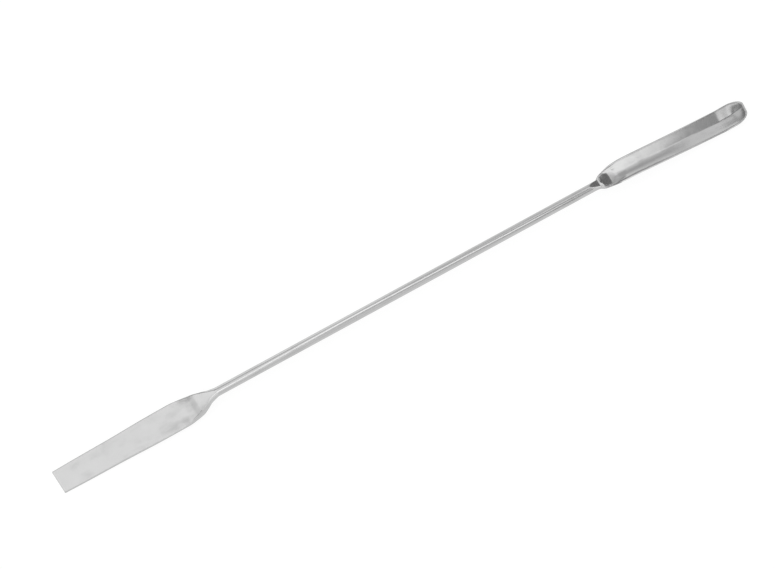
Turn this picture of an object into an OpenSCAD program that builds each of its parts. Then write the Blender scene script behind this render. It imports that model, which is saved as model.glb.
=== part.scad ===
// Double-ended laboratory spatula, forged in one piece from a round stainless steel bar.
// One end is a flat blade with a square end, the other a long shallow scoop.
// The part lies on its blade's end and its scoop's belly, as it rests on a bench. Millimetres, +Z up,
// +X towards the scoop, origin under the middle of the whole length on the bench.

/* [Rod] */
// Diameter of the round rod
rod_d = 2.4; // [2:0.1:4]
// Length of the straight rod, from neck to neck
rod_len = 108.8; // [80:0.2:160]

/* [Blade] */
// Length of the flat end, from the rod to its square end
blade_len = 46.4; // [36:0.5:70]
// Width of the blade at its shoulders, where it is widest
blade_w = 7.7; // [6:0.1:12]
// Width of the blade at its square end
blade_end_w = 6.6; // [4:0.1:9]
// Thickness of the blade at its shoulders
blade_t = 0.85; // [0.6:0.05:1.5]
// Thickness of the blade at its square end
blade_end_t = 0.6; // [0.4:0.05:1]
// Radius on the blade's long edges
blade_edge_r = 0.2; // [0.1:0.05:0.4]
// Radius on the square end's edges
blade_end_r = 0.1; // [0.05:0.05:0.15]
// Spread of the blade's flanks, from their top to their foot on each side
blade_spread = 0.05; // [0:0.05:0.1]
// Drop of the blade's underside below the rod's, at the shoulders
blade_step = 0.8; // [0:0.1:1.5]
// Further drop of the blade's underside, from the shoulders to the square end
blade_droop = 0.95; // [0:0.05:2]

/* [Blade neck] */
// Distance from the rod to the corners at the end of the flare
flare_len = 6.1; // [5:0.1:8]
// Width across the foot of those corners
flare_w = 6.2; // [4:0.1:8]
// Thickness of the neck at those corners
flare_t = 2.05; // [1.5:0.05:2.6]
// Spread of the neck's flanks at those corners, from their top to their foot on each side
flare_spread = 0.55; // [0:0.05:0.8]
// Distance from the rod to the foot of the ramp down to the blade's face
ramp_foot = 10.5; // [9:0.5:12]
// Distance from the rod to the blade's shoulders
shoulder_at = 13; // [12.5:0.5:18]

/* [Scoop] */
// Length of the scoop end, from the rod to its tip
scoop_len = 44.6; // [36:0.1:70]
// Width of the scoop where its channel starts
scoop_w = 6.1; // [5:0.05:9]
// Width of the scoop before its rounded tip
scoop_end_w = 6.5; // [5:0.1:10]
// Depth of the channel below the rims
channel_depth = 0.9; // [0.5:0.05:1.4]
// Thickness of the scoop's wall
scoop_wall = 0.45; // [0.35:0.05:0.9]
// Radius on the edges of the rims
rim_r = 0.15; // [0.05:0.05:0.2]
// Height of the rims above the rod's axis, where the channel starts
rim_rise = 1.1; // [0.5:0.05:1.3]
// Drop of the rims from there to the tip
scoop_droop = 3.1; // [0:0.1:5]
// Sharpness of the valley along the channel's farther half: 0 is a round channel, 1 a V
keel = 0.85; // [0:0.05:1]
// How far the bottom of that valley lies off the scoop's middle
keel_aside = 0.55; // [0:0.05:1]

/* [Scoop neck] */
// Distance from the rod to the top of the ramp into the channel
ramp_top = 2; // [1.8:0.1:3]
// Distance from the rod to the foot of that ramp
ramp_end = 5; // [4.6:0.1:7]
// Distance from the rod to where the flare ends and the channel has its full depth
channel_at = 9; // [8:0.5:12]
// Length of rod cut by the small facet on its top before the ramp
facet_back = 1.1; // [0.5:0.1:2]
// Fall of that facet in each millimetre along the rod
facet_dip = 0.23; // [0.1:0.01:0.3]
// How askew the facet is: millimetres along the rod for each millimetre across it
facet_skew = 0.5; // [0:0.1:1]

/* [Scoop tip] */
// Length over which the channel grows shallower towards the tip
run_out_len = 7; // [5:0.5:10]
// Length of the steeper slope that ends the channel
end_wall_len = 2.6; // [1.5:0.1:3.5]
// Length of the tip's rounded corners along the scoop
tip_corner_len = 4.4; // [2:0.1:6]
// Width of the tip's straight front edge
tip_front_w = 2.2; // [1:0.1:4]
// Angle at which the front edge was ground, off square, in degrees
tip_slant = 7; // [-8:1:8]

/* [Smoothness] */
// Steps around each rounded corner of the blade's section
corner_steps = 5; // [3:1:6]
// Steps across the scoop's belly, and across its channel
arc_steps = 16; // [10:2:20]
// Steps around the scoop's tip
tip_steps = 12; // [8:1:14]

/* [Hidden] */
$fn = 64;
rod_r = rod_d / 2;
// The forged ends start inside the rod, this far in and this much slimmer than the rod.
root_len = 1;
root_gap = 0.02;
root_r = rod_r - root_gap;
// Distance between sections where a neck changes fast, and where an end runs on evenly
neck_step = 0.5;
even_step = 3.2;
rim_steps = 2;
// The smallest half-angle of an arc, which keeps a flat one from dividing by zero
flat_angle = 0.5;
// Kept off the radius of each corner of the blade's section, so that no two of its points meet
corner_gap = 0.01;
// How far the ramp's middle lies below a straight ramp, which makes it hollow
ramp_hollow = 0.15;
// Length over which the channel's bottom bends into each of its slopes
channel_bend = 0.3;
// Radius at the bottom of the valley, where it is a full V
keel_r = 0.2;
// The ramp is flat from side to side; the higher this even power, the closer its flat comes to the walls
flat_power = 8;
ramp_flat = 0.9;
// The facet stops this far before the ramp's top
facet_gap = 0.3;
// The ramp's foot is this much thicker than the blade, and its edges are this much rounder
foot_extra = 0.1;
foot_extra_r = 0.05;

// A smooth curve through a list of [place, value] stations, level at the first one and straight over
// its last stretch
function rise(p, i) = (p[i + 1][1] - p[i][1]) / (p[i + 1][0] - p[i][0]);
function slope(p, i) =
    i == 0 ? 0
    : i >= len(p) - 2 ? rise(p, len(p) - 2)
    : let (a = rise(p, i - 1), b = rise(p, i)) a * b <= 0 ? 0 : 2 * a * b / (a + b);
function span_of(p, x, i = 0) = i >= len(p) - 2 || x <= p[i + 1][0] ? i : span_of(p, x, i + 1);
function through(p, x) =
    let (
        i = span_of(p, x),
        h = p[i + 1][0] - p[i][0],
        t = min(max((x - p[i][0]) / h, 0), 1),
        s = t * t * (3 - 2 * t)
    )
    p[i][1] * (1 - s) + p[i + 1][1] * s
    + h * t * (1 - t) * ((1 - t) * slope(p, i) - t * slope(p, i + 1));

// A value part of the way from a to b
function mix(a, b, share) = a + (b - a) * share;
// Places from a to b, both included, no further apart than step
function places(a, b, step) = let (n = ceil((b - a) / step)) [for (i = [0:n]) a + (b - a) * i / n];
function tail(list) = [for (i = [1:len(list) - 1]) list[i]];
function flat(lists) = [for (list = lists) each list];
// Side triangles of a skin over rings of m points, and of the same skin seen from the other side
function skin(rings, m) = [
    for (i = [0:rings - 2], j = [0:m - 1])
        let (a = i * m + j, b = i * m + (j + 1) % m) each [[a, b, b + m], [a, b + m, a + m]]
];
function turned(faces) = [for (f = faces) [for (i = [len(f) - 1:-1:0]) f[i]]];

// ---- Blade: sections are four-cornered, with rounded corners and flanks that spread downwards ----
ramp_middle = (flare_len + ramp_foot) / 2;
blade_under = -rod_r - blade_step;
blade_widths = [
    [0, 2 * root_r],
    [flare_len * 0.42, mix(rod_d, flare_w, 0.2)],
    [flare_len * 0.75, mix(rod_d, flare_w, 0.67)],
    [flare_len, flare_w],
    [ramp_middle, mix(flare_w, blade_w, 0.55)],
    [ramp_foot, mix(flare_w, blade_w, 0.93)],
    [shoulder_at, blade_w],
    [mix(shoulder_at, blade_len, 0.15), mix(blade_w, blade_end_w, 0.03)],
    [mix(shoulder_at, blade_len, 0.5), mix(blade_w, blade_end_w, 0.52)],
    [mix(shoulder_at, blade_len, 0.87), mix(blade_w, blade_end_w, 0.82)],
    [blade_len, blade_end_w]
];
blade_thicknesses = [
    [0, 2 * root_r],
    [flare_len, flare_t],
    [ramp_middle, (flare_t + blade_t) / 2 - ramp_hollow],
    [ramp_foot, blade_t + foot_extra],
    [shoulder_at, blade_t],
    [blade_len, blade_end_t]
];
blade_undersides = [
    [0, -root_r],
    [flare_len * 0.5, mix(-rod_r, blade_under, 0.15)],
    [flare_len, mix(-rod_r, blade_under, 0.85)],
    [ramp_foot, blade_under],
    [shoulder_at, blade_under],
    [blade_len, blade_under - blade_droop]
];
blade_radii = [
    [0, root_r],
    [flare_len * 0.5, 0.7 * rod_r],
    [flare_len, 0.36 * rod_r],
    [ramp_foot, blade_edge_r + foot_extra_r],
    [blade_len, blade_edge_r]
];
blade_spreads = [
    [0, 0],
    [flare_len * 0.5, 0.4 * flare_spread],
    [flare_len, flare_spread],
    [shoulder_at, blade_spread],
    [blade_len, blade_spread]
];

// One section at u from the rod, drawn in by inset on every side
function blade_section(u, at, inset = 0) =
    let (
        w = through(blade_widths, u) / 2 - inset,
        low = through(blade_undersides, u) + inset,
        high = low + through(blade_thicknesses, u) - 2 * inset,
        r = min(through(blade_radii, u), (high - low) / 2, w) - corner_gap,
        spread = through(blade_spreads, u),
        corners = [
            [w - spread - r, high - r, 0], [spread + r - w, high - r, 90], [r - w, low + r, 180],
            [w - r, low + r, 270]
        ]
    )
    [
        for (c = corners, i = [0:corner_steps])
            let (a = c[2] + 90 * i / corner_steps) [-at, c[0] + r * cos(a), c[1] + r * sin(a)]
    ];

blade_rings = concat(
    [for (u = concat([-root_len], places(0, shoulder_at, neck_step))) blade_section(max(u, 0), u)],
    [for (u = tail(places(shoulder_at, blade_len - blade_end_r, even_step))) blade_section(u, u)],
    [
        for (a = [45, 90])
            let (u = blade_len - blade_end_r * (1 - sin(a))) blade_section(u, u, blade_end_r * (1 - cos(a)))
    ]
);

module blade_end() {
    m = len(blade_rings[0]);
    last = (len(blade_rings) - 1) * m;
    caps = [[for (j = [m - 1:-1:0]) j], [for (j = [0:m - 1]) last + j]];
    polyhedron(flat(blade_rings), concat(skin(len(blade_rings), m), caps));
}

// ---- Scoop: sections have a belly arc below the rims and a channel between them. At the rod the
// channel still stands up as an arc, so that the two arcs make a circle there. ----
scoop_depth = channel_depth + scoop_wall;
channel_run = scoop_len - channel_at;
scoop_widths = [
    [0, 2 * root_r],
    [channel_at * 0.13, mix(rod_d, scoop_w, 0.08)],
    [channel_at * 0.28, mix(rod_d, scoop_w, 0.48)],
    [channel_at * 0.46, mix(rod_d, scoop_w, 0.7)],
    [channel_at * 0.68, mix(rod_d, scoop_w, 0.91)],
    [channel_at, scoop_w],
    [scoop_len, scoop_end_w]
];
rim_heights = [
    [0, 0],
    [ramp_top, 0],
    [ramp_top + channel_bend, rim_rise * 0.1],
    [ramp_end - channel_bend, rim_rise * 0.62],
    [ramp_end, rim_rise * 0.67],
    [mix(ramp_end, channel_at, 0.4), rim_rise * 0.93],
    [mix(ramp_end, channel_at, 0.6), rim_rise * 0.98],
    [channel_at, rim_rise],
    [channel_at + channel_run * 0.09, rim_rise - scoop_droop * 0.075],
    [channel_at + channel_run * 0.18, rim_rise - scoop_droop * 0.21],
    [channel_at + channel_run * 0.46, rim_rise - scoop_droop * 0.6],
    [channel_at + channel_run * 0.75, rim_rise - scoop_droop * 0.92],
    [channel_at + channel_run * 0.81, rim_rise - scoop_droop * 0.965],
    [scoop_len, rim_rise - scoop_droop * 0.87]
];
belly_depths = [
    [0, root_r],
    [channel_at * 0.33, mix(rod_r, scoop_depth, 0.2)],
    [channel_at * 0.67, mix(rod_r, scoop_depth, 0.67)],
    [channel_at, scoop_depth],
    [scoop_len, scoop_depth]
];
channel_heights = [
    [0, root_r],
    [ramp_top, rod_r * 0.75],
    [ramp_top + channel_bend, rod_r * 0.61],
    [ramp_end - channel_bend, -channel_depth * 0.45],
    [ramp_end, -channel_depth * 0.56],
    [mix(ramp_end, channel_at, 0.4), -channel_depth * 0.93],
    [channel_at, -channel_depth],
    [scoop_len - run_out_len, -channel_depth],
    [scoop_len - run_out_len + channel_bend, -channel_depth * 0.985],
    [scoop_len - end_wall_len, -channel_depth * 0.72],
    [scoop_len - scoop_wall, 0]
];
wall_widths = [
    [0, root_gap],
    [ramp_top, scoop_wall * 0.25],
    [ramp_end, scoop_wall * 0.7],
    [channel_at, scoop_wall],
    [scoop_len, scoop_wall]
];
// How much of the channel's section is a valley, and how much is a flat
keels = [
    [0, 0],
    [channel_at + channel_run * 0.2, 0],
    [channel_at + channel_run * 0.6, keel],
    [scoop_len, keel]
];
flats = [
    [0, 0],
    [ramp_top - facet_gap, 0],
    [ramp_top + channel_bend, ramp_flat],
    [ramp_end, ramp_flat * 0.9],
    [channel_at, 0],
    [scoop_len, 0]
];

// An arc of the given height over a half width, from one side to the other, as [across, up] points
function arc(half, height) =
    let (a = max(2 * atan(abs(height) / half), flat_angle))
    [
        for (i = [0:arc_steps])
            let (q = a * (2 * i / arc_steps - 1))
            [half * sin(q) / sin(a), height * (cos(q) - cos(a)) / (1 - cos(a))]
    ];

// The channel's section: an arc mixed with a valley whose bottom is moved aside, and with a flat
function dish(half, height, keel_share, flat_share) =
    [
        for (p = arc(half, height))
            let (
                out = abs(p[0] / half),
                valley = (norm([p[0], keel_r]) - keel_r) / (norm([half, keel_r]) - keel_r),
                keeled = mix(p[1], height * (1 - valley), keel_share),
                aside = keel_aside * keel_share * pow(1 - out * out, 2)
            )
            [p[0] + aside, mix(keeled, height * (1 - pow(out, flat_power)), flat_share)]
    ];

// One section whose outer edge is at v. bend is 90 along the scoop and falls to 0 round the tip, where
// the section's inner points stay back from its outer ones to keep the wall's thickness.
function scoop_section(v, at, half, bend = 90) =
    let (
        wall = through(wall_widths, v),
        r = min(rim_r, wall / 2 - root_gap / 4),
        belly = arc(half, -through(belly_depths, v) * sin(bend)),
        inner = v - wall * cos(bend),
        height = through(channel_heights, inner),
        channel = dish(half - wall * sin(bend), height, through(keels, v), through(flats, v)),
        outer_edge = [
            for (i = [1:rim_steps])
                let (a = 90 * i / rim_steps) [r * (1 - cos(a)), r * (1 - sin(a))]
        ],
        inner_edge = [for (i = [rim_steps - 1:-1:0]) [wall - outer_edge[i][0], outer_edge[i][1]]],
        rim = [
            for (e = concat(outer_edge, inner_edge))
                let (back = e[0] * cos(bend))
                    [at - back, half - e[0] * sin(bend), through(rim_heights, v - back) - e[1]]
        ]
    )
    concat(
        [for (p = belly) [at, p[0], through(rim_heights, v) - r + p[1]]], rim,
        [
            for (i = [arc_steps:-1:0])
                [at - v + inner, channel[i][0], through(rim_heights, inner) - r + channel[i][1]]
        ],
        [for (i = [len(rim) - 1:-1:0]) [rim[i][0], -rim[i][1], rim[i][2]]]
    );

// The tip's outline is two quarter ellipses with a straight front edge between them, all slanted.
function tip_section(bend) =
    let (
        v = scoop_len - tip_corner_len * (1 - cos(bend)),
        side = through(scoop_widths, v) / 2,
        half = mix(tip_front_w / 2, side, sin(bend))
    )
    [for (p = scoop_section(v, v, half, bend)) p + [p[1] * tan(tip_slant) * cos(bend), 0, 0]];

scoop_rings = concat(
    [
        for (v = concat([-root_len], places(0, channel_at, neck_step)))
            scoop_section(max(v, 0), v, through(scoop_widths, max(v, 0)) / 2)
    ],
    [
        for (v = tail(places(channel_at, scoop_len - tip_corner_len, even_step)))
            scoop_section(v, v, through(scoop_widths, v) / 2)
    ],
    [for (i = [tip_steps - 1:-1:0]) tip_section(90 * i / tip_steps)]
);

module scoop_end() {
    m = len(scoop_rings[0]);
    rim_points = 2 * rim_steps + 1;
    first = (len(scoop_rings) - 1) * m;
    right = [for (k = [0:rim_points]) first + arc_steps + k];
    left = [for (k = [0:rim_points]) first + (m - k) % m];
    channel = [for (j = [0:arc_steps]) right[rim_points] + j];
    front = concat(
        [concat([left[1]], [for (j = [0:arc_steps]) first + j], [right[1]])],
        [for (k = [1:rim_points - 2]) [left[k], right[k], right[k + 1], left[k + 1]]],
        [concat([left[rim_points - 1], right[rim_points - 1]], channel)]
    );
    root = [for (j = [0:m - 1]) j];
    polyhedron(flat(scoop_rings), concat(turned(skin(len(scoop_rings), m)), [root], front));
}

// The space above the small facet before the ramp, with x from the rod's end
function facet_height(x, y) = rod_r - facet_dip * (x + facet_back + facet_skew * y);
module above_facet() {
    corners = [for (x = [-facet_back - rod_d, ramp_top - facet_gap], y = [-rod_d, rod_d]) [x, y]];
    low = [for (p = corners) [p[0], p[1], facet_height(p[0], p[1])]];
    high = [for (p = corners) [p[0], p[1], 2 * rod_d]];
    polyhedron(
        concat(low, high),
        [[0, 2, 3, 1], [4, 5, 7, 6], [0, 1, 5, 4], [2, 6, 7, 3], [0, 4, 6, 2], [1, 3, 7, 5]]
    );
}

module rod() {
    rotate([0, 90, 0]) cylinder(r = rod_r, h = rod_len);
}

// ---- Rest: the rod tilts until the blade's end and the scoop's belly touch the bench together ----
blade_points = flat(blade_rings);
scoop_points = [for (p = flat(scoop_rings)) p + [rod_len, 0, 0]];
function across(p, tilt) = p[0] * cos(tilt) - p[2] * sin(tilt);
function up(p, tilt) = p[0] * sin(tilt) + p[2] * cos(tilt);
function lowest(points, tilt) =
    let (z = min([for (p = points) up(p, tilt)])) [for (p = points) if (up(p, tilt) == z) p][0];
// The points that touch can change as the rod tilts, so the tilt is found again from its last value.
function settle(tilt, rounds) =
    rounds == 0 ? tilt
    : let (a = lowest(blade_points, tilt), b = lowest(scoop_points, tilt))
        settle(atan((a[2] - b[2]) / (b[0] - a[0])), rounds - 1);
rest_tilt = settle(0, 4);
ends = [for (p = concat(blade_points, scoop_points)) across(p, rest_tilt)];
bench = up(lowest(blade_points, rest_tilt), rest_tilt);

module spatula() {
    color("silver")
        translate([-(min(ends) + max(ends)) / 2, 0, -bench])
            rotate([0, -rest_tilt, 0]) {
                blade_end();
                difference() {
                    union() {
                        rod();
                        translate([rod_len, 0, 0]) scoop_end();
                    }
                    translate([rod_len, 0, 0]) above_facet();
                }
            }
}

spatula();
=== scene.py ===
"""Studio scene of a double-ended laboratory spatula of stainless steel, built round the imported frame.

The spatula is one piece of steel, so one fine mesh stands for its CAD node: a closed skin that runs
from the square end of the blade, along the rod, to the rounded tip of the scoop. Its sections follow
the same sizes as the CAD part, in millimetres, with x = 0 where the rod meets the blade's neck and
z = 0 on the rod's axis.
"""

import math

import bpy
import numpy as np
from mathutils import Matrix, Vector


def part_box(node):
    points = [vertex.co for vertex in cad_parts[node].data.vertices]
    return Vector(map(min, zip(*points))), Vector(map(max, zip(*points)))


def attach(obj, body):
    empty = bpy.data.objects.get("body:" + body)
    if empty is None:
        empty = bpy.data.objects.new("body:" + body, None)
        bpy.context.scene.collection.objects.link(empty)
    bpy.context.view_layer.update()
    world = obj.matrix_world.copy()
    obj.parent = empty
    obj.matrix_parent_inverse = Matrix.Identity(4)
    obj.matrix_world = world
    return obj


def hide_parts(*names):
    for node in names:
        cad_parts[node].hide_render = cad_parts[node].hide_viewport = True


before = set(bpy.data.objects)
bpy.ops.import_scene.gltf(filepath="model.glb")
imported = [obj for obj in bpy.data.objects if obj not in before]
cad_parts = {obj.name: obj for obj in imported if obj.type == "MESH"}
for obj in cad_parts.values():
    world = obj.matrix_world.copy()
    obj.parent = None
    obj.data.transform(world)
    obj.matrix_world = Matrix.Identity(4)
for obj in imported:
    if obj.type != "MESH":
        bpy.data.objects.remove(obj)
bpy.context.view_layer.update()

MM = 0.001

# ---- Sizes of the spatula, in millimetres; they are those of the CAD part ----
ROD_R = 1.2
ROD_LEN = 108.8

BLADE_LEN = 46.4
BLADE_W = 7.7
BLADE_END_W = 6.6
BLADE_T = 0.85
BLADE_END_T = 0.6
BLADE_EDGE_R = 0.2
BLADE_END_R = 0.1
BLADE_SPREAD = 0.05
BLADE_STEP = 0.8
BLADE_DROOP = 0.95

FLARE_LEN = 6.1
FLARE_W = 6.2
FLARE_T = 2.05
FLARE_SPREAD = 0.55
RAMP_FOOT = 10.5
RAMP_HOLLOW = 0.15
SHOULDER_AT = 13.0

SCOOP_LEN = 44.6
SCOOP_W = 6.1
SCOOP_END_W = 6.5
CHANNEL_DEPTH = 0.9
SCOOP_WALL = 0.45
RIM_R = 0.15
RIM_RISE = 1.1
SCOOP_DROOP = 3.1
RAMP_TOP = 2.0
RAMP_END = 5.0
CHANNEL_AT = 9.0
RUN_OUT_LEN = 7.0
END_WALL_LEN = 2.6
CHANNEL_BEND = 0.3

# The channel's valley: how sharp it is towards the tip, its bottom's radius, and how far it lies aside.
KEEL = 0.85
KEEL_R = 0.2
KEEL_ASIDE = 0.55

# The ramp is flat from side to side; a higher even power brings its flat closer to the walls.
RAMP_FLAT = 0.9
FLAT_POWER = 8

# The small facet on the rod's top: where it starts and stops, its fall in a millimetre, and its skew.
FACET_BACK = 1.1
FACET_GAP = 0.3
FACET_DIP = 0.23
FACET_SKEW = 0.5
FACET_ROD = 2.0  # the length of rod whose rings are close enough together to be cut by it

TIP_CORNER_LEN = 4.4
TIP_FRONT_W = 2.2
TIP_SLANT = 7.0  # degrees

# ---- Fineness of the skin: segments of each half section, and millimetres between sections ----
FLAT_SEGMENTS = 12
CORNER_SEGMENTS = 12
BELLY_SEGMENTS = 24
RIM_CORNER_SEGMENTS = 4
RIM_TOP_SEGMENTS = 2
CHANNEL_SEGMENTS = 26
HALF = 3 * FLAT_SEGMENTS + 2 * CORNER_SEGMENTS
NECK_STEP = 0.15
EVEN_STEP = 0.5
ROD_STEP = 2.0
TIP_RINGS = 28
ROUND_OFF_RINGS = 4


def mix(a, b, share):
    return a + (b - a) * share


def smooth(share):
    share = min(max(share, 0.0), 1.0)
    return share * share * (3 - 2 * share)


def through(stations, x):
    """A smooth curve through [place, value] stations: level at the first, straight at its end."""
    last = len(stations) - 2

    def rise(i):
        return (stations[i + 1][1] - stations[i][1]) / (stations[i + 1][0] - stations[i][0])

    def slope(i):
        if i == 0:
            return 0.0
        if i >= last:
            return rise(last)
        a, b = rise(i - 1), rise(i)
        return 0.0 if a * b <= 0 else 2 * a * b / (a + b)

    i = 0
    while i < last and x > stations[i + 1][0]:
        i += 1
    h = stations[i + 1][0] - stations[i][0]
    t = min(max((x - stations[i][0]) / h, 0.0), 1.0)
    bend = h * t * (1 - t) * ((1 - t) * slope(i) - t * slope(i + 1))
    return mix(stations[i][1], stations[i + 1][1], smooth(t)) + bend


def places(a, b, step):
    n = math.ceil((b - a) / step)
    return [a + (b - a) * i / n for i in range(n + 1)]


def on_circle(angle, radius=1.0):
    a = math.radians(angle)
    return np.array((math.cos(a), math.sin(a))) * radius


def arc_points(centre, radius, start, end, segments):
    angles = [mix(start, end, i / segments) for i in range(segments + 1)]
    return [np.array(centre) + on_circle(angle, radius) for angle in angles]


def line_points(a, b, segments):
    return [mix(np.array(a), np.array(b), i / segments) for i in range(segments + 1)]


def joined(*runs):
    """Runs of points end to end, with the point that two runs share kept once."""
    points = list(runs[0])
    for run in runs[1:]:
        points.extend(run[1:])
    return np.array(points)


def from_rod(half_section, middle, share):
    """The half section of a neck, turned into the rod's own half circle as share falls to 0."""
    if share >= 1:
        return half_section
    offset = half_section - np.array((0.0, middle))
    angle = np.unwrap(np.arctan2(offset[:, 1], offset[:, 0]))
    radius = np.hypot(offset[:, 0], offset[:, 1])
    even = np.radians(np.linspace(-90, 90, len(half_section)))
    angle, radius = mix(even, angle, share), mix(ROD_R, radius, share)
    return np.stack((radius * np.cos(angle), radius * np.sin(angle) + middle * share), axis=1)


def put_in_scene(name, data):
    thing = bpy.data.objects.new(name, data)
    bpy.context.scene.collection.objects.link(thing)
    return thing


# ---- Blade ----
RAMP_MIDDLE = (FLARE_LEN + RAMP_FOOT) / 2
BLADE_UNDER = -ROD_R - BLADE_STEP
BLADE_WIDTHS = [
    [0, 2 * ROD_R],
    [FLARE_LEN * 0.42, mix(2 * ROD_R, FLARE_W, 0.2)],
    [FLARE_LEN * 0.75, mix(2 * ROD_R, FLARE_W, 0.67)],
    [FLARE_LEN, FLARE_W],
    [RAMP_MIDDLE, mix(FLARE_W, BLADE_W, 0.55)],
    [RAMP_FOOT, mix(FLARE_W, BLADE_W, 0.93)],
    [SHOULDER_AT, BLADE_W],
    [mix(SHOULDER_AT, BLADE_LEN, 0.15), mix(BLADE_W, BLADE_END_W, 0.03)],
    [mix(SHOULDER_AT, BLADE_LEN, 0.5), mix(BLADE_W, BLADE_END_W, 0.52)],
    [mix(SHOULDER_AT, BLADE_LEN, 0.87), mix(BLADE_W, BLADE_END_W, 0.82)],
    [BLADE_LEN, BLADE_END_W],
]
BLADE_THICKNESSES = [
    [0, 2 * ROD_R],
    [FLARE_LEN, FLARE_T],
    [RAMP_MIDDLE, (FLARE_T + BLADE_T) / 2 - RAMP_HOLLOW],
    [RAMP_FOOT, BLADE_T + 0.1],
    [SHOULDER_AT, BLADE_T],
    [BLADE_LEN, BLADE_END_T],
]
BLADE_UNDERSIDES = [
    [0, -ROD_R],
    [FLARE_LEN * 0.5, mix(-ROD_R, BLADE_UNDER, 0.15)],
    [FLARE_LEN, mix(-ROD_R, BLADE_UNDER, 0.85)],
    [RAMP_FOOT, BLADE_UNDER],
    [SHOULDER_AT, BLADE_UNDER],
    [BLADE_LEN, BLADE_UNDER - BLADE_DROOP],
]
BLADE_RADII = [
    [0, ROD_R],
    [FLARE_LEN * 0.5, 0.7 * ROD_R],
    [FLARE_LEN, 0.36 * ROD_R],
    [RAMP_FOOT, BLADE_EDGE_R + 0.05],
    [BLADE_LEN, BLADE_EDGE_R],
]
BLADE_SPREADS = [
    [0, 0],
    [FLARE_LEN * 0.5, 0.4 * FLARE_SPREAD],
    [FLARE_LEN, FLARE_SPREAD],
    [SHOULDER_AT, BLADE_SPREAD],
    [BLADE_LEN, BLADE_SPREAD],
]
ROOT_BLEND = 2.0  # the rod's circle turns into a neck's own section over this length
LEAST = 0.01  # the least radius or half width, so that no two points meet and nothing is divided by 0


def blade_half(u, inset=0.0):
    """Half a section of the blade at u from the rod, from the middle of its underside to its top."""
    w = through(BLADE_WIDTHS, u) / 2 - inset
    low = through(BLADE_UNDERSIDES, u) + inset
    high = low + through(BLADE_THICKNESSES, u) - 2 * inset
    r = max(min(through(BLADE_RADII, u) - inset, (high - low) / 2, w) - LEAST, LEAST)
    spread = through(BLADE_SPREADS, u)
    lean = math.degrees(math.atan2(spread, high - low - 2 * r))
    foot = (w - r, low + r)
    head = (w - spread - r, high - r)
    section = joined(
        line_points((0, low), (w - r, low), FLAT_SEGMENTS),
        arc_points(foot, r, -90, lean, CORNER_SEGMENTS),
        line_points(foot + on_circle(lean, r), head + on_circle(lean, r), FLAT_SEGMENTS),
        arc_points(head, r, lean, 90, CORNER_SEGMENTS),
        line_points((head[0], high), (0, high), FLAT_SEGMENTS),
    )
    return from_rod(section, (low + high) / 2, smooth(u / ROOT_BLEND))


def whole_ring(half_section, x):
    """A closed ring of points at x: the half section, then its mirror image back to the start."""
    xs = np.full(len(half_section), x) if np.isscalar(x) else x
    near = np.column_stack((xs, half_section))
    far = near[-2:0:-1] * (1, -1, 1)
    return np.vstack((near, far))


def blade_rings():
    """Rings from the square end to the rod."""
    rings = []
    for i in range(ROUND_OFF_RINGS + 1):
        a = math.radians(90 * i / ROUND_OFF_RINGS)
        u = BLADE_LEN - BLADE_END_R * (1 - math.cos(a))
        rings.append(whole_ring(blade_half(u, BLADE_END_R * (1 - math.sin(a))), -u))
    for u in places(SHOULDER_AT, BLADE_LEN - BLADE_END_R, EVEN_STEP)[-2::-1]:
        rings.append(whole_ring(blade_half(u), -u))
    for u in places(0, SHOULDER_AT, NECK_STEP)[-2::-1]:
        rings.append(whole_ring(blade_half(u), -u))
    return rings


# ---- Scoop ----
SCOOP_DEPTH = CHANNEL_DEPTH + SCOOP_WALL
CHANNEL_RUN = SCOOP_LEN - CHANNEL_AT
SCOOP_WIDTHS = [
    [0, 2 * ROD_R],
    [CHANNEL_AT * 0.13, mix(2 * ROD_R, SCOOP_W, 0.08)],
    [CHANNEL_AT * 0.28, mix(2 * ROD_R, SCOOP_W, 0.48)],
    [CHANNEL_AT * 0.46, mix(2 * ROD_R, SCOOP_W, 0.7)],
    [CHANNEL_AT * 0.68, mix(2 * ROD_R, SCOOP_W, 0.91)],
    [CHANNEL_AT, SCOOP_W],
    [SCOOP_LEN, SCOOP_END_W],
]
RIM_HEIGHTS = [
    [0, 0],
    [RAMP_TOP, 0],
    [RAMP_TOP + CHANNEL_BEND, RIM_RISE * 0.1],
    [RAMP_END - CHANNEL_BEND, RIM_RISE * 0.62],
    [RAMP_END, RIM_RISE * 0.67],
    [mix(RAMP_END, CHANNEL_AT, 0.4), RIM_RISE * 0.93],
    [mix(RAMP_END, CHANNEL_AT, 0.6), RIM_RISE * 0.98],
    [CHANNEL_AT, RIM_RISE],
    [CHANNEL_AT + CHANNEL_RUN * 0.09, RIM_RISE - SCOOP_DROOP * 0.075],
    [CHANNEL_AT + CHANNEL_RUN * 0.18, RIM_RISE - SCOOP_DROOP * 0.21],
    [CHANNEL_AT + CHANNEL_RUN * 0.46, RIM_RISE - SCOOP_DROOP * 0.6],
    [CHANNEL_AT + CHANNEL_RUN * 0.75, RIM_RISE - SCOOP_DROOP * 0.92],
    [CHANNEL_AT + CHANNEL_RUN * 0.81, RIM_RISE - SCOOP_DROOP * 0.965],
    [SCOOP_LEN, RIM_RISE - SCOOP_DROOP * 0.87],
]
BELLY_DEPTHS = [
    [0, ROD_R],
    [CHANNEL_AT * 0.33, mix(ROD_R, SCOOP_DEPTH, 0.2)],
    [CHANNEL_AT * 0.67, mix(ROD_R, SCOOP_DEPTH, 0.67)],
    [CHANNEL_AT, SCOOP_DEPTH],
    [SCOOP_LEN, SCOOP_DEPTH],
]
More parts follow.
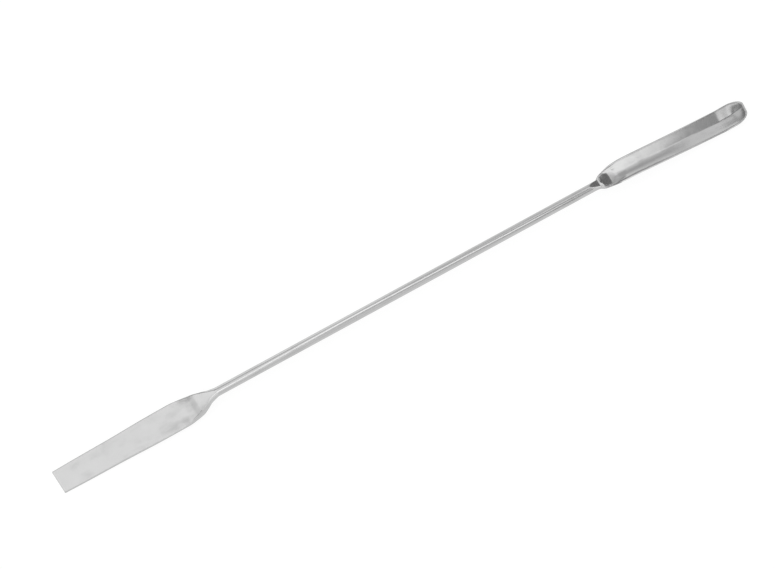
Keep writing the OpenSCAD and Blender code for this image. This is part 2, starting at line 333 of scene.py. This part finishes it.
CHANNEL_HEIGHTS = [
    [0, ROD_R],
    [RAMP_TOP, ROD_R * 0.75],
    [RAMP_TOP + CHANNEL_BEND, ROD_R * 0.61],
    [RAMP_END - CHANNEL_BEND, -CHANNEL_DEPTH * 0.45],
    [RAMP_END, -CHANNEL_DEPTH * 0.56],
    [mix(RAMP_END, CHANNEL_AT, 0.4), -CHANNEL_DEPTH * 0.93],
    [CHANNEL_AT, -CHANNEL_DEPTH],
    [SCOOP_LEN - RUN_OUT_LEN, -CHANNEL_DEPTH],
    [SCOOP_LEN - RUN_OUT_LEN + CHANNEL_BEND, -CHANNEL_DEPTH * 0.985],
    [SCOOP_LEN - END_WALL_LEN, -CHANNEL_DEPTH * 0.72],
    [SCOOP_LEN - SCOOP_WALL, 0],
]
WALL_WIDTHS = [
    [0, 0.02],
    [RAMP_TOP, SCOOP_WALL * 0.25],
    [RAMP_END, SCOOP_WALL * 0.7],
    [CHANNEL_AT, SCOOP_WALL],
    [SCOOP_LEN, SCOOP_WALL],
]
KEELS = [
    [0, 0],
    [CHANNEL_AT + CHANNEL_RUN * 0.2, 0],
    [CHANNEL_AT + CHANNEL_RUN * 0.6, KEEL],
    [SCOOP_LEN, KEEL],
]
FLATS = [
    [0, 0],
    [RAMP_TOP - FACET_GAP, 0],
    [RAMP_TOP + CHANNEL_BEND, RAMP_FLAT],
    [RAMP_END, RAMP_FLAT * 0.9],
    [CHANNEL_AT, 0],
    [SCOOP_LEN, 0],
]
FLAT_ANGLE = 0.5  # the smallest half angle of an arc, in degrees
WALL_GAP = 0.005  # kept off half a thin wall, so that no two points of its rounded top meet


def arc(half, height, segments):
    """Half an arc of that height over a half width, from its middle out, as (across, up) points."""
    a = math.radians(max(math.degrees(2 * math.atan(abs(height) / half)), FLAT_ANGLE))
    q = np.linspace(0, a, segments + 1)
    up = height * (np.cos(q) - math.cos(a)) / (1 - math.cos(a))
    return np.column_stack((half * np.sin(q) / math.sin(a), up))


def dish(half, height, keel, flat, segments):
    """Half a section of the channel, from its middle out: an arc, turned to a valley and to a flat."""
    points = arc(half, height, segments)
    across = points[:, 0]
    valley = (np.hypot(across, KEEL_R) - KEEL_R) / (math.hypot(half, KEEL_R) - KEEL_R)
    points[:, 1] = mix(points[:, 1], height * (1 - valley), keel)
    points[:, 1] = mix(points[:, 1], height * (1 - (across / half) ** FLAT_POWER), flat)
    return points


def rim_profile(wall, r):
    """The rounded top of a wall, as (in from the outer face, below the rim) points."""
    outer = [(r * (1 - math.cos(a)), r * (1 - math.sin(a)))
             for a in np.radians(np.linspace(0, 90, RIM_CORNER_SEGMENTS + 1))]
    top = line_points((r, 0), (wall - r, 0), RIM_TOP_SEGMENTS)
    inner = [(wall - p[0], p[1]) for p in reversed(outer)]
    return joined(outer, top, inner)


def scoop_half(v, half, bend=90.0):
    """Half a section of the scoop, from its belly's middle over the rim to its channel's middle.

    Its points are (back from v, across, up). bend is 90 along the scoop and falls to 0 round the tip,
    where the inner points stay back from the outer ones to keep the wall's thickness.
    """
    back, aside = math.cos(math.radians(bend)), math.sin(math.radians(bend))
    wall = through(WALL_WIDTHS, v)
    r = min(RIM_R, wall / 2 - WALL_GAP)
    inner = v - wall * back
    inner_half = half - wall * aside
    floor = through(CHANNEL_HEIGHTS, inner)
    belly = arc(half, -through(BELLY_DEPTHS, v) * aside, BELLY_SEGMENTS)
    channel = dish(inner_half, floor, through(KEELS, v), through(FLATS, v), CHANNEL_SEGMENTS)
    belly_run = [(0, p[0], through(RIM_HEIGHTS, v) - r + p[1]) for p in belly]
    rim_run = []
    for p in rim_profile(wall, r):
        height = through(RIM_HEIGHTS, v - p[0] * back) - p[1]
        rim_run.append((p[0] * back, half - p[0] * aside, height))
    inner_rim = through(RIM_HEIGHTS, inner) - r
    channel_run = [(v - inner, p[0], inner_rim + p[1]) for p in channel[::-1]]
    return joined(belly_run, rim_run, channel_run)


def keel_moved(ring, v):
    """The ring with the bottom of its channel moved aside, towards the far rim."""
    first = HALF - CHANNEL_SEGMENTS
    channel = slice(first, len(ring) - first + 1)
    across = ring[channel, 1] / max(ring[first, 1], LEAST)
    ring[channel, 1] += KEEL_ASIDE * through(KEELS, v) * (1 - across ** 2) ** 2
    return ring


def faceted(ring, v):
    """The ring cut off by the facet, which falls from the rod's top towards the ramp."""
    dip = FACET_DIP * (v + FACET_BACK + FACET_SKEW * ring[:, 1])
    if v < RAMP_TOP - FACET_GAP:
        ring[:, 2] = np.minimum(ring[:, 2], ROD_R - np.maximum(dip, 0.0))
    return ring


def scoop_ring(v, half, bend=90.0):
    section = scoop_half(v, half, bend)
    across_up = section[:, 1:]
    if v < ROOT_BLEND:
        across_up = from_rod(across_up, 0.0, smooth(v / ROOT_BLEND))
    ring = whole_ring(across_up, ROD_LEN + v - section[:, 0])
    return faceted(keel_moved(ring, v), v)


def tip_ring(bend):
    v = SCOOP_LEN - TIP_CORNER_LEN * (1 - math.cos(math.radians(bend)))
    half = mix(TIP_FRONT_W / 2, through(SCOOP_WIDTHS, v) / 2, math.sin(math.radians(bend)))
    ring = scoop_ring(v, half, bend)
    ring[:, 0] += ring[:, 1] * math.tan(math.radians(TIP_SLANT)) * math.cos(math.radians(bend))
    return ring


def scoop_rings():
    """Rings from the rod to the tip."""
    rings = [scoop_ring(v, through(SCOOP_WIDTHS, v) / 2) for v in places(0, CHANNEL_AT, NECK_STEP)]
    for v in places(CHANNEL_AT, SCOOP_LEN - TIP_CORNER_LEN, EVEN_STEP)[1:]:
        rings.append(scoop_ring(v, through(SCOOP_WIDTHS, v) / 2))
    for i in range(1, TIP_RINGS + 1):
        rings.append(tip_ring(90 * (1 - i / TIP_RINGS)))
    return rings


# ---- Skin ----
def rod_rings():
    circle = np.array([on_circle(a, ROD_R) for a in np.linspace(-90, 90, HALF + 1)])
    plain = places(0, ROD_LEN - FACET_ROD, ROD_STEP)[1:]
    cut = places(ROD_LEN - FACET_ROD, ROD_LEN, NECK_STEP)[1:-1]
    return [faceted(whole_ring(circle, x), x - ROD_LEN) for x in plain + cut]


def square_end_faces():
    """Faces that close the first ring by strips across it, between mirror points."""
    m = 2 * HALF
    faces = []
    for j in range(HALF):
        near_a, near_b = j, j + 1
        far_a, far_b = -j % m, -(j + 1) % m
        faces.append(tuple(dict.fromkeys((near_a, far_a, far_b, near_b))))
    return faces


def tip_faces(points, last):
    """Faces that close the last ring, which starts at point last; the points they need are added.

    The tip's front is closed by rows across it, one for each point of the rim's profile.
    """
    m = 2 * HALF
    inner_rim = HALF - CHANNEL_SEGMENTS

    def row(k):
        near, far = np.array(points[last + k]), np.array(points[last + m - k])
        start = len(points)
        n = 2 * BELLY_SEGMENTS
        points.extend(tuple(mix(near, far, i / n)) for i in range(1, n))
        return [last + k, *range(start, start + n - 1), last + m - k]

    belly_near = [last + j for j in range(BELLY_SEGMENTS, -1, -1)]
    belly_far = [last + m - j for j in range(1, BELLY_SEGMENTS + 1)]
    rows = [belly_near + belly_far] + [row(k) for k in range(BELLY_SEGMENTS + 1, inner_rim)]
    faces = []
    for a, b in zip(rows, rows[1:]):
        faces.extend((a[i], b[i], b[i + 1], a[i + 1]) for i in range(len(a) - 1))
    channel_near = [last + j for j in range(inner_rim, HALF + 1)]
    channel_far = [last + m - j for j in range(HALF - 1, inner_rim - 1, -1)]
    faces.append(tuple(channel_near + channel_far + rows[-1][::-1]))
    return faces


def skin():
    """Points and outward faces of the closed skin, in the spatula's own millimetres."""
    rings = blade_rings() + rod_rings() + scoop_rings()
    m = 2 * HALF
    points = [tuple(p) for ring in rings for p in ring]
    faces = []
    for i in range(len(rings) - 1):
        for j in range(m):
            a, b = i * m + j, i * m + (j + 1) % m
            faces.append((a, b, b + m, a + m))
    faces += square_end_faces()
    faces += tip_faces(points, (len(rings) - 1) * m)
    return np.array(points), faces


def lowest(points, tilt):
    """The point that would lie lowest if the points were tilted by that angle."""
    return points[np.argmin(points[:, 0] * math.sin(tilt) + points[:, 2] * math.cos(tilt))]


REST_TRIES = 6  # enough for the tilt to settle


def rested(points):
    """The points turned and moved to lie on the bench: blade's end and scoop's belly both touch it."""
    blade = points[points[:, 0] < 0]
    scoop = points[points[:, 0] > ROD_LEN]
    tilt = 0.0
    for _ in range(REST_TRIES):
        a, b = lowest(blade, tilt), lowest(scoop, tilt)
        tilt = math.atan((a[2] - b[2]) / (b[0] - a[0]))
    x = points[:, 0] * math.cos(tilt) - points[:, 2] * math.sin(tilt)
    z = points[:, 0] * math.sin(tilt) + points[:, 2] * math.cos(tilt)
    return np.column_stack((x - (x.min() + x.max()) / 2, points[:, 1], z - z.min()))


def build_spatula():
    points, faces = skin()
    mesh = bpy.data.meshes.new("steel_spatula")
    mesh.from_pydata((rested(points) * MM).tolist(), [], faces)
    mesh.validate()
    mesh.shade_smooth()
    piece = put_in_scene("steel_spatula", mesh)
    weigh = piece.modifiers.new("flat faces stay flat", "WEIGHTED_NORMAL")
    weigh.keep_sharp = True
    weigh.weight = 50
    return piece


# ---- Node sums ----
def grey(level):
    return (level, level, level, 1)


class Sums:
    """Small sums in a node tree; each value is a socket, a number or a colour."""

    def __init__(self, tree):
        self.nodes, self.links = tree.nodes, tree.links

    def put(self, socket, value):
        if isinstance(value, (int, float, tuple)):
            socket.default_value = value
        else:
            self.links.new(value, socket)

    def math(self, operation, a, b=0.0):
        node = self.nodes.new("ShaderNodeMath")
        node.operation = operation
        self.put(node.inputs[0], a)
        self.put(node.inputs[1], b)
        return node.outputs[0]

    def step(self, value, start, end):
        """0 up to start, 1 from end on, smooth between; start may be the greater one."""
        node = self.nodes.new("ShaderNodeMapRange")
        node.interpolation_type = "SMOOTHSTEP"
        self.put(node.inputs["Value"], value)
        turned = start > end
        node.inputs["From Min"].default_value = min(start, end)
        node.inputs["From Max"].default_value = max(start, end)
        node.inputs["To Min"].default_value = 1.0 if turned else 0.0
        node.inputs["To Max"].default_value = 0.0 if turned else 1.0
        return node.outputs["Result"]

    def window(self, value, a, b, c, d):
        """1 from b to c, 0 outside a to d, smooth between."""
        return self.math("MULTIPLY", self.step(value, a, b), self.step(value, d, c))

    def blend(self, a, b, share):
        node = self.nodes.new("ShaderNodeMix")
        self.put(node.inputs["Factor"], share)
        self.put(node.inputs[2], a)
        self.put(node.inputs[3], b)
        return node.outputs[0]

    def colour_mix(self, a, b, share):
        """A mix of two colours, each a socket or four numbers."""
        node = self.nodes.new("ShaderNodeMix")
        node.data_type = "RGBA"
        self.put(node.inputs[0], share)
        self.put(node.inputs[6], a)
        self.put(node.inputs[7], b)
        return node.outputs[2]

    def noise(self, place, scales, detail):
        """Noise about 0.5 in a place, with that many ripples in a metre along each axis."""
        spread = self.nodes.new("ShaderNodeMapping")
        spread.inputs["Scale"].default_value = scales
        self.put(spread.inputs["Vector"], place)
        node = self.nodes.new("ShaderNodeTexNoise")
        node.inputs["Scale"].default_value = 1.0
        node.inputs["Detail"].default_value = detail
        self.put(node.inputs["Vector"], spread.outputs[0])
        return node.outputs["Fac"]

    def curve(self, value, stops):
        """A level by a value, eased from one (value, level) stop to the next."""
        first, last = stops[0][0], stops[-1][0]
        peak = max(level for _, level in stops)
        spread = self.nodes.new("ShaderNodeMapRange")
        self.put(spread.inputs["Value"], value)
        spread.inputs["From Min"].default_value = first
        spread.inputs["From Max"].default_value = last
        node = self.nodes.new("ShaderNodeValToRGB")
        ramp = node.color_ramp
        ramp.interpolation = "EASE"
        while len(ramp.elements) < len(stops):
            ramp.elements.new(1.0)
        for element, (place, level) in zip(ramp.elements, stops):
            element.position = (place - first) / (last - first)
            element.color = grey(level / peak)
        self.links.new(spread.outputs["Result"], node.inputs[0])
        return self.math("MULTIPLY", node.outputs[0], peak)


# ---- Material ----
# Grey of the steel where it is clean, where it is dull, and a darker painted grey that stands in for
# the dark reflection on the blade's neck.
STEEL = 0.52
STEEL_DULL = 0.485
STEEL_PAINTED_DARK = 0.34

# Ripples in a metre along, across and up: broad stains, fine grain, lines drawn along the steel, and
# the mottling of the painted dark reflection.
STAINS = (170, 320, 320)
GRAIN = (900, 1500, 1500)
DRAWN_LINES = (60, 3200, 3200)
UNEVEN = (600, 900, 900)

ROUGHNESS = 0.1
STAIN_ROUGHNESS = 0.14  # added where a stain is strongest
RELIEF = 0.000008  # metres; the heights below are multiples of it
STAIN_HEIGHT = 6.0
GRAIN_HEIGHT = 0.5
LINE_HEIGHT = 0.5

# Painted dark reflection on the blade: darker patches painted into its colour where the slope from the
# neck to the blade reflects dark surroundings, and a faint one towards its end: (place along, place
# across, half length, half width, strength), in millimetres from the spatula's middle. A patch keeps
# the share set below of its strength where it is faintest.
PAINTED_DARK_PATCHES = [
    (-62.0, 2.9, 3.0, 2.2, 1.0),
    (-61.6, 0.0, 2.4, 3.4, 0.4),
    (-66.0, -2.4, 8.0, 1.5, 0.45),
    (-93.0, -2.0, 2.5, 1.5, 0.3),
]
LEAST_PAINTED_DARK = 0.4


def painted_dark_reflection(sums, place):
    """How strongly the painted dark reflection darkens the steel, from 0 to 1, mottled as a stain is.
    """
    total = 0.0
    for along, across, length, width, strength in PAINTED_DARK_PATCHES:
        spread = sums.nodes.new("ShaderNodeMapping")
        spread.inputs["Location"].default_value = (-along / length, -across / width, 0)
        spread.inputs["Scale"].default_value = (1 / (length * MM), 1 / (width * MM), 0)
        sums.put(spread.inputs["Vector"], place)
        far = sums.nodes.new("ShaderNodeVectorMath")
        far.operation = "LENGTH"
        sums.put(far.inputs[0], spread.outputs[0])
        dark_patch = sums.math("MULTIPLY", sums.step(far.outputs["Value"], 1.0, 0.2), strength)
        total = sums.math("MAXIMUM", total, dark_patch)
    uneven = sums.step(sums.noise(place, UNEVEN, 3.0), 0.3, 0.62)
    uneven = sums.math("ADD", sums.math("MULTIPLY", uneven, 1 - LEAST_PAINTED_DARK), LEAST_PAINTED_DARK)
    return sums.math("MULTIPLY", total, uneven)


def steel_material():
    """Satin stainless steel: faint stains, fine lines drawn along it, and a painted dark reflection on
    the blade's neck.
    """
    material = bpy.data.materials.new("satin_steel")
    material.use_nodes = True
    tree = material.node_tree
    sums = Sums(tree)
    shader = tree.nodes["Principled BSDF"]
    shader.inputs["Metallic"].default_value = 1.0
    place = tree.nodes.new("ShaderNodeTexCoord").outputs["Object"]
    stains = sums.noise(place, STAINS, 4.0)
    grain = sums.noise(place, GRAIN, 3.0)
    lines = sums.noise(place, DRAWN_LINES, 2.0)
    tone = sums.colour_mix(grey(STEEL), grey(STEEL_DULL), sums.step(stains, 0.52, 0.72))
    # painted shade: a darker grey painted where the blade's neck reflects dark surroundings
    tone = sums.colour_mix(tone, grey(STEEL_PAINTED_DARK), painted_dark_reflection(sums, place))
    tree.links.new(tone, shader.inputs["Base Color"])
    rough = sums.math("ADD", ROUGHNESS, sums.math("MULTIPLY", stains, STAIN_ROUGHNESS))
    tree.links.new(rough, shader.inputs["Roughness"])
    stain_height = sums.math("MULTIPLY", stains, STAIN_HEIGHT)
    height = sums.math("ADD", stain_height, sums.math("MULTIPLY", grain, GRAIN_HEIGHT))
    height = sums.math("ADD", height, sums.math("MULTIPLY", lines, LINE_HEIGHT))
    bump = tree.nodes.new("ShaderNodeBump")
    bump.inputs["Strength"].default_value = 1.0
    bump.inputs["Distance"].default_value = RELIEF
    tree.links.new(height, bump.inputs["Height"])
    tree.links.new(bump.outputs[0], shader.inputs["Normal"])
    return material


# ---- Studio light ----
# Light of the studio by the angle from straight up, in degrees: towards +Y above 0, towards -Y below.
LIGHT_ROUND = [
    (-180, 0.9), (-95, 0.9), (-80, 0.88), (-58, 0.95), (-45, 0.86), (-34, 0.84), (-20, 0.95), (0, 1.05),
    (16, 1.0), (30, 0.92), (40, 0.84), (50, 0.88), (60, 0.98), (90, 1.04), (110, 0.98), (180, 0.9),
]

# The same for directions that lean to the right: those whose x has passed RIGHT_FROM.
LIGHT_RIGHT = [
    (-180, 0.9), (-110, 0.95), (-75, 1.2), (-52, 1.3), (-42, 1.46), (-28, 1.46), (-14, 1.34), (0, 1.34),
    (8, 1.38), (18, 1.1), (27, 0.85), (38, 0.66), (47, 0.56), (53, 0.6), (66, 0.8), (76, 0.92),
    (95, 0.95), (180, 0.9),
]
RIGHT_FROM = (0.25, 0.29)

# Lamps and dark things to the left of that: (light, the four angles of a window or None for all round,
# x of a direction where it begins and where it is full).
LEFT_PATCHES = [
    (1.34, (-30, 8, 36, 44), (0.19, 0.16)),  # a wide lamp over the blade and its neck
    (0.3, (50, 62, 96, 104), (0.19, 0.16)),  # darkness low behind the blade
    (0.66, (27, 36, 56, 64), (0.215, 0.195)),  # a shade above that, along the rod too
    (0.4, (-34, -26, 8, 16), (-0.01, -0.1)),  # darkness that the slope of the blade's neck shows
    (1.12, None, (-0.38, -0.5)),  # the left end of the room, in its steepest part
]

# The right end of the room is dark: what is behind from a smaller x on, the rest from a greater one.
RIGHT_END_LIGHT = 0.2
RIGHT_END = (0.54, 0.6)
RIGHT_END_BEHIND = (0.5, 0.54)
RIGHT_END_BEHIND_ANGLES = (5, 14)


def studio_level(sums, direction):
    """The light that comes from a direction."""
    split = sums.nodes.new("ShaderNodeSeparateXYZ")
    sums.put(split.inputs[0], direction)
    x, y, z = split.outputs
    around = sums.math("MULTIPLY", sums.math("ARCTAN2", y, z), 180 / math.pi)
    level = sums.curve(around, LIGHT_ROUND)
    for light, window, (start, full) in LEFT_PATCHES:
        share = sums.step(x, start, full)
        if window:
            share = sums.math("MULTIPLY", sums.window(around, *window), share)
        level = sums.blend(level, light, share)
    level = sums.blend(level, sums.curve(around, LIGHT_RIGHT), sums.step(x, *RIGHT_FROM))
    behind = sums.step(around, *RIGHT_END_BEHIND_ANGLES)
    dark = sums.math("MULTIPLY", behind, sums.step(x, *RIGHT_END_BEHIND))
    dark = sums.math("MAXIMUM", dark, sums.step(x, *RIGHT_END))
    return sums.blend(level, RIGHT_END_LIGHT, dark)


def studio_world():
    """Light from all round that differs by direction, as in a room; the camera sees plain white."""
    world = bpy.data.worlds.new("studio")
    world.use_nodes = True
    bpy.context.scene.world = world
    tree = world.node_tree
    tree.nodes.clear()
    sums = Sums(tree)
    direction = tree.nodes.new("ShaderNodeTexCoord").outputs["Generated"]
    light = tree.nodes.new("ShaderNodeBackground")
    light.inputs["Color"].default_value = grey(1)
    tree.links.new(studio_level(sums, direction), light.inputs["Strength"])
    white = tree.nodes.new("ShaderNodeBackground")
    white.inputs["Color"].default_value = grey(1)
    path = tree.nodes.new("ShaderNodeLightPath")
    choose = tree.nodes.new("ShaderNodeMixShader")
    out = tree.nodes.new("ShaderNodeOutputWorld")
    tree.links.new(path.outputs["Is Camera Ray"], choose.inputs[0])
    tree.links.new(light.outputs[0], choose.inputs[1])
    tree.links.new(white.outputs[0], choose.inputs[2])
    tree.links.new(choose.outputs[0], out.inputs[0])


# ---- Cards: lamps and dark things near the spatula, bent round its axis, seen only in the steel ----
# Their rows are (place along the axis, lowest angle, highest angle) from end to end, and their tones
# (place along the axis, light given off), in degrees and in millimetres from the spatula's middle.
CARD_SEGMENTS = 24

# The strip light over the rod, with a dark strip on each side: (place along the axis, angle of its
# middle).
STRIP_LINE = [
    (-62, -34), (-30, -25), (-18, -7), (-6, 5), (6, 10), (20, 4), (40, -12), (54, -25), (64, -30),
    (80, -33),
]
STRIP_R = 100.0
# Each strip: (name, lowest and highest angle from that line, tones).
STRIPS = [
    (
        "light_strip", -11, 10,
        [(-62, 1.9), (0, 1.75), (58, 1.65), (68, 1.2), (76, 0.45), (82, 0.3)],
    ),
    (
        "dark_strip_near", -36, -12,
        [(-62, 1.05), (-14, 1.0), (6, 0.76), (60, 0.62), (78, 0.3)],
    ),
    (
        "dark_strip_far", 11, 32,
        [(-62, 1.15), (0, 1.05), (30, 0.66), (60, 0.58), (78, 0.3)],
    ),
]

# The other cards: (name, radius, rows, tones).
CARDS = [
    (
        "light_card_back", STRIP_R,
        [(-45, 58, 100), (50, 58, 100)],
        [(-45, 1.3), (0, 1.25), (40, 1.0), (50, 0.96)],
    ),
    (
        "dark_card_end", 15,
        [(88, 16, 46), (99.5, 16, 46)],
        [(88, 0.9), (95, 0.85), (96.2, 0.6), (97.5, 0.45), (99.5, 0.4)],
    ),
    (
        "dark_card_rim", 14,
        [(91, 12, 29), (99.8, 12, 29)],
        [(91, 0.45), (95, 0.3), (99.8, 0.25)],
    ),
    (
        "dark_card_far", 60,
        [(99.5, -95, 8), (126, -95, 8)],
        [
            (99.5, 1.3), (101.5, 1.22), (104, 1.2), (105.7, 0.97), (107, 0.84), (108.2, 0.78),
            (109.5, 0.68), (111.5, 0.52), (113.4, 0.42), (126, 0.4),
        ],
    ),
    (
        "light_card_near", 60,
        [(103, 34, 100), (126, 34, 100)],
        [(103, 0.6), (106, 0.92), (108, 1.0), (126, 1.0)],
    ),
    (
        "light_card_neck", 30,
        [(61.5, -68, 0), (63, -75, 12), (73.5, -75, 12)],
        [(61.5, 1.45), (73.5, 1.4)],
    ),
    (
        "dark_card_ramp", 8,
        [(58.4, -34, -8), (61.4, -34, -8)],
        [(58.4, 0.4), (60.3, 0.25), (61.4, 0.3)],
    ),
    (
        "light_card_flare", 15,
        [(-63.5, -45, 13), (-56, -45, 13)],
        [(-63.5, 1.1), (-56, 1.1)],
    ),
    (
        "grey_card_neck", 30,
        [(64, 20, 52), (72, 20, 52)],
        [(64, 0.72), (69, 0.6), (72, 0.55)],
    ),
    (
        "light_card_rim", 30,
        [(63, 66, 88), (73, 66, 88)],
        [(63, 1.1), (73, 1.05)],
    ),
    (
        "light_card_tip", 30,
        [(96.5, 34, 88), (104, 34, 88)],
        [(96.5, 0.95), (104, 1.0)],
    ),
]


def card_mesh(name, radius, rows):
    points = []
    for x, low, high in rows:
        for i in range(CARD_SEGMENTS + 1):
            a = math.radians(mix(low, high, i / CARD_SEGMENTS))
            points.append((x * MM, radius * MM * math.sin(a), radius * MM * math.cos(a)))
    per_row = CARD_SEGMENTS + 1
    faces = []
    for k in range(len(rows) - 1):
        for a in range(k * per_row, k * per_row + CARD_SEGMENTS):
            faces.append((a, a + 1, a + 1 + per_row, a + per_row))
    mesh = bpy.data.meshes.new(name)
    mesh.from_pydata(points, [], faces)
    return mesh


def card_material(name, tones):
    material = bpy.data.materials.new(name)
    material.use_nodes = True
    tree = material.node_tree
    tree.nodes.clear()
    sums = Sums(tree)
    split = tree.nodes.new("ShaderNodeSeparateXYZ")
    tree.links.new(tree.nodes.new("ShaderNodeTexCoord").outputs["Object"], split.inputs[0])
    level = sums.curve(split.outputs["X"], [(x * MM, tone) for x, tone in tones])
    glow = tree.nodes.new("ShaderNodeEmission")
    glow.inputs["Color"].default_value = grey(1)
    tree.links.new(level, glow.inputs["Strength"])
    out = tree.nodes.new("ShaderNodeOutputMaterial")
    tree.links.new(glow.outputs[0], out.inputs[0])
    return material


def build_card(name, radius, rows, tones):
    card = put_in_scene(name, card_mesh(name, radius, rows))
    card.data.materials.append(card_material(name, tones))
    card.visible_camera = False
    card.visible_diffuse = False
    card.visible_shadow = False


def build_cards():
    for name, low, high, tones in STRIPS:
        rows = [(x, middle + low, middle + high) for x, middle in STRIP_LINE]
        build_card(name, STRIP_R, rows, tones)
    for name, radius, rows, tones in CARDS:
        build_card(name, radius, rows, tones)


# ---- Bench ----
FLOOR_WHITE = 0.85
FLOOR_GLOW = 0.8  # share of its own light in what the camera and the steel see of it
FLOOR_GLOW_LIGHT = 1.1
FLOOR_HALF = 4.0  # metres
FLOOR_DROP = 0.00002  # metres, below the spatula's lowest points


def bench_material():
    """A white bench, which keeps a little of the spatula's shadow."""
    material = bpy.data.materials.new("white_bench")
    material.use_nodes = True
    tree = material.node_tree
    tree.nodes.clear()
    sums = Sums(tree)
    diffuse = tree.nodes.new("ShaderNodeBsdfDiffuse")
    diffuse.inputs["Color"].default_value = grey(FLOOR_WHITE)
    glow = tree.nodes.new("ShaderNodeEmission")
    glow.inputs["Strength"].default_value = FLOOR_GLOW_LIGHT
    path = tree.nodes.new("ShaderNodeLightPath")
    seen = sums.math("MAXIMUM", path.outputs["Is Camera Ray"], path.outputs["Is Glossy Ray"])
    choose = tree.nodes.new("ShaderNodeMixShader")
    out = tree.nodes.new("ShaderNodeOutputMaterial")
    tree.links.new(sums.math("MULTIPLY", seen, FLOOR_GLOW), choose.inputs[0])
    tree.links.new(diffuse.outputs[0], choose.inputs[1])
    tree.links.new(glow.outputs[0], choose.inputs[2])
    tree.links.new(choose.outputs[0], out.inputs[0])
    return material


def build_floor():
    mesh = bpy.data.meshes.new("bench")
    h = FLOOR_HALF
    mesh.from_pydata([(-h, -h, 0), (h, -h, 0), (h, h, 0), (-h, h, 0)], [], [(0, 1, 2, 3)])
    mesh.materials.append(bench_material())
    bench = put_in_scene("bench", mesh)
    bench.location.z = -FLOOR_DROP


# ---- Camera ----
CAMERA_AZIMUTH, CAMERA_ELEVATION = -30.92, 65.0  # degrees
CAMERA_DISTANCE = 3.0  # metres
CAMERA_CLIP = 20.0  # metres
VIEW_WIDTH = 193.43 * MM  # width of what the camera sees at the spatula
VIEW_MIDDLE = (-4.225 * MM, 1.725 * MM)  # from the middle of the spatula's box: to the right, and up


def build_camera():
    low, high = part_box("spatula")
    a, e = math.radians(CAMERA_AZIMUTH), math.radians(CAMERA_ELEVATION)
    back = Vector((math.sin(a) * math.cos(e), -math.cos(a) * math.cos(e), math.sin(e)))
    right = Vector((math.cos(a), math.sin(a), 0))
    aim = (low + high) / 2 + right * VIEW_MIDDLE[0] + back.cross(right) * VIEW_MIDDLE[1]
    data = bpy.data.cameras.new("camera")
    data.lens = data.sensor_width * CAMERA_DISTANCE / VIEW_WIDTH
    data.clip_end = CAMERA_CLIP
    camera = put_in_scene("camera", data)
    camera.rotation_mode = "QUATERNION"
    camera.location = aim + back * CAMERA_DISTANCE
    camera.rotation_quaternion = (-back).to_track_quat("-Z", "Y")
    bpy.context.scene.camera = camera


bpy.context.scene.view_settings.view_transform = "Standard"
build_camera()
studio_world()
build_cards()
build_floor()

spatula = build_spatula()
spatula.data.materials.append(steel_material())
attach(spatula, "root")
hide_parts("spatula")
